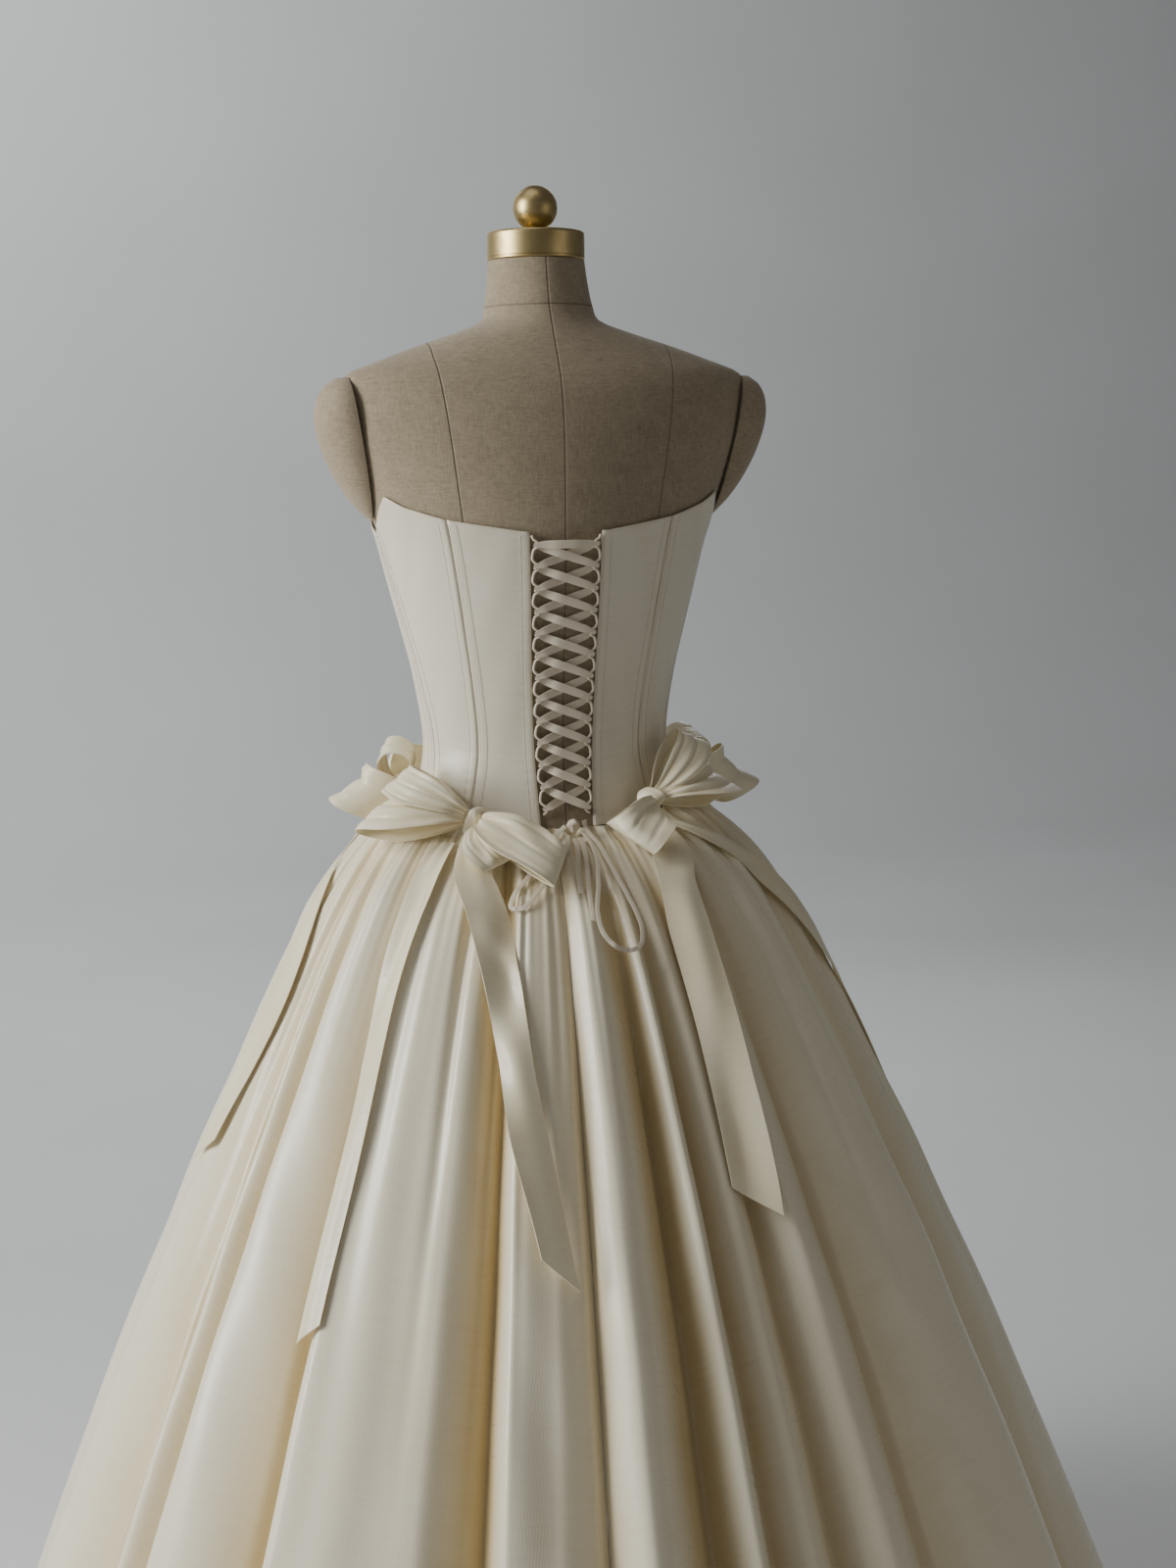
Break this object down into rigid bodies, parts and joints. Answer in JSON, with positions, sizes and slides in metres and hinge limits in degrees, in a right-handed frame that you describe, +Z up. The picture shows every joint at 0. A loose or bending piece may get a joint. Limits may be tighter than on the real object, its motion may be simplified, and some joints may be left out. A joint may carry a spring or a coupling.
{
  "type": "wedding dress on dress form",
  "caption": "Strapless ivory satin ball gown with a laced corset back, gathered skirt and ribbon bows at the dropped waist, on a linen dress form with a round stand.",
  "frame": {"origin": "on the floor at the centre of the stand's round base", "axes": "+Z up, the wearer faces -Y, so the laced back faces +Y and the wearer's left is +X"},
  "size_m": [1.2107, 1.2146, 1.568],
  "materials": {
    "bodice_satin": "heavy duchess satin, soft sheen",
    "skirt_satin": "heavy duchess satin, soft sheen",
    "ribbon_satin": "satin ribbon",
    "lace_ribbon": "flat ribbon and rouleau",
    "linen": "matt plain weave, padded",
    "brass": "satin",
    "painted_steel": "satin"
  },
  "bodies": {
    "root": {"bodice_centre_back_left": "bodice_satin", "bodice_centre_back_right": "bodice_satin", "bodice_side_back_left": "bodice_satin", "bodice_side_back_right": "bodice_satin", "bodice_side_left": "bodice_satin", "bodice_side_right": "bodice_satin", "bodice_side_front_left": "bodice_satin", "bodice_side_front_right": "bodice_satin", "bodice_centre_front": "bodice_satin", "skirt_back_left": "skirt_satin", "skirt_back_right": "skirt_satin", "skirt_side_back_left": "skirt_satin", "skirt_side_back_right": "skirt_satin", "skirt_side_front_left": "skirt_satin", "skirt_side_front_right": "skirt_satin", "skirt_front": "skirt_satin", "bow_back_left_knot": "ribbon_satin", "bow_back_left_loop_upper": "ribbon_satin", "bow_back_left_loop_lower": "ribbon_satin", "bow_back_left_loop_right": "ribbon_satin", "bow_back_left_loop_fold": "ribbon_satin", "bow_back_left_tail_right": "ribbon_satin", "bow_back_left_tail_left": "ribbon_satin", "bow_back_right_knot": "ribbon_satin", "bow_back_right_loop_upper": "ribbon_satin", "bow_back_right_loop_right": "ribbon_satin", "bow_back_right_loop_lower": "ribbon_satin", "bow_back_right_tail_left": "ribbon_satin", "bow_back_right_tail_right": "ribbon_satin", "bow_side_left_knot": "ribbon_satin", "bow_side_left_loop_upper": "ribbon_satin", "bow_side_left_loop_front": "ribbon_satin", "bow_side_left_loop_back": "ribbon_satin", "bow_side_left_tail_back": "ribbon_satin", "bow_side_right_knot": "ribbon_satin", "bow_side_right_loop_upper": "ribbon_satin", "bow_side_right_loop_front": "ribbon_satin", "bow_side_right_loop_back": "ribbon_satin", "bow_side_right_tail_back": "ribbon_satin", "loop_tape_left": "lace_ribbon", "loop_tape_right": "lace_ribbon", "lace_half_one": "lace_ribbon", "lace_half_two": "lace_ribbon", "lace_knot": "lace_ribbon", "lace_long_loop": "lace_ribbon", "lace_short_loop": "lace_ribbon", "lace_end_long": "lace_ribbon", "lace_end_short": "lace_ribbon", "form_torso": "linen", "form_arm_cap_left": "linen", "form_arm_cap_right": "linen", "form_neck_cap": "brass", "form_ball": "brass", "stand_pole": "painted_steel", "stand_base": "painted_steel"}
  },
  "joints": []
}
